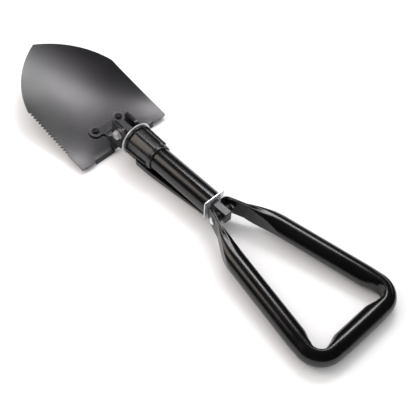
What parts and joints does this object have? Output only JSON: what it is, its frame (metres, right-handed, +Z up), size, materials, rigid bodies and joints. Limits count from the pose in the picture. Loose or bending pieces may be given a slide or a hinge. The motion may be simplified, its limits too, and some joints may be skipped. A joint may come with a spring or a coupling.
{
  "type": "folding camp shovel",
  "caption": "Tri-fold camp shovel: dished saw-edged blade, folding pick, locking collar on a tubular shaft and a folding triangular handle.",
  "frame": {"origin": "on the ground, at the middle of the footprint of the open shovel as it lies on its blade's rear edge and its grip", "axes": "+X along the shovel towards the blade's point, +Y towards the saw edge, +Z up, out of the blade's upper face"},
  "size_m": [0.5868, 0.1462, 0.0544],
  "materials": {
    "powder_coat": "satin black powder coat",
    "gloss_enamel": "gloss black enamel",
    "black_lacquer": "gloss black lacquer",
    "collar_moulding": "gloss black moulded plastic",
    "zinc_plate": "bright zinc plating",
    "grey_steel": "satin grey phosphated steel"
  },
  "bodies": {
    "core": {"inner_bar": "grey_steel", "blade_spacer_left": "black_lacquer", "blade_spacer_right": "black_lacquer", "handle_spacer_left": "black_lacquer", "handle_spacer_right": "black_lacquer"},
    "blade_unit": {"blade": "powder_coat", "blade_bracket": "powder_coat", "bracket_rivet_left": "black_lacquer", "bracket_rivet_right": "black_lacquer", "hinge_bolt": "zinc_plate", "hinge_nut": "zinc_plate", "hinge_bolt_washer": "zinc_plate", "hinge_nut_washer": "zinc_plate"},
    "pick_unit": {"pick": "gloss_enamel"},
    "washer_unit": {"thrust_washer": "zinc_plate"},
    "collar_unit": {"lock_collar": "collar_moulding"},
    "tube_unit": {"shaft_tube": "gloss_enamel", "threaded_sleeve": "zinc_plate", "end_plate": "zinc_plate"},
    "handle_unit": {"handle_frame": "gloss_enamel", "handle_rivet": "zinc_plate"}
  },
  "joints": [
    {"name": "blade_fold", "type": "hinge", "parent": "core", "child": "blade_unit", "pos_m": [0.10588, 0, 0.03279], "axis": [0, -1, 0], "range_deg": [0, 171]},
    {"name": "pick_fold", "type": "hinge", "parent": "core", "child": "pick_unit", "pos_m": [0.10588, 0, 0.03279], "axis": [0, -1, 0], "range_deg": [0, 90]},
    {"name": "handle_fold", "type": "hinge", "parent": "core", "child": "handle_unit", "pos_m": [-0.06966, 0, 0.02378], "axis": [0, 1, 0], "range_deg": [0, 180]},
    {"name": "washer_slide", "type": "slide", "parent": "core", "child": "washer_unit", "axis": [0.9987, 0, 0.0512], "range_m": [0, 0.00325]},
    {"name": "collar_turn", "type": "hinge", "parent": "washer_unit", "child": "collar_unit", "pos_m": [0.08474, 0, 0.0317], "axis": [0.9987, 0, 0.0512], "range_deg": [0, 540]},
    {"name": "tube_slide", "type": "slide", "parent": "core", "child": "tube_unit", "axis": [-0.9987, 0, -0.0512], "range_m": [0, 0.00125]}
  ],
  "couplings": [
    {"joint": "collar_turn", "follows": "washer_slide", "rad_per_m": 2899.9},
    {"joint": "tube_slide", "follows": "washer_slide", "ratio": 0.38461}
  ]
}
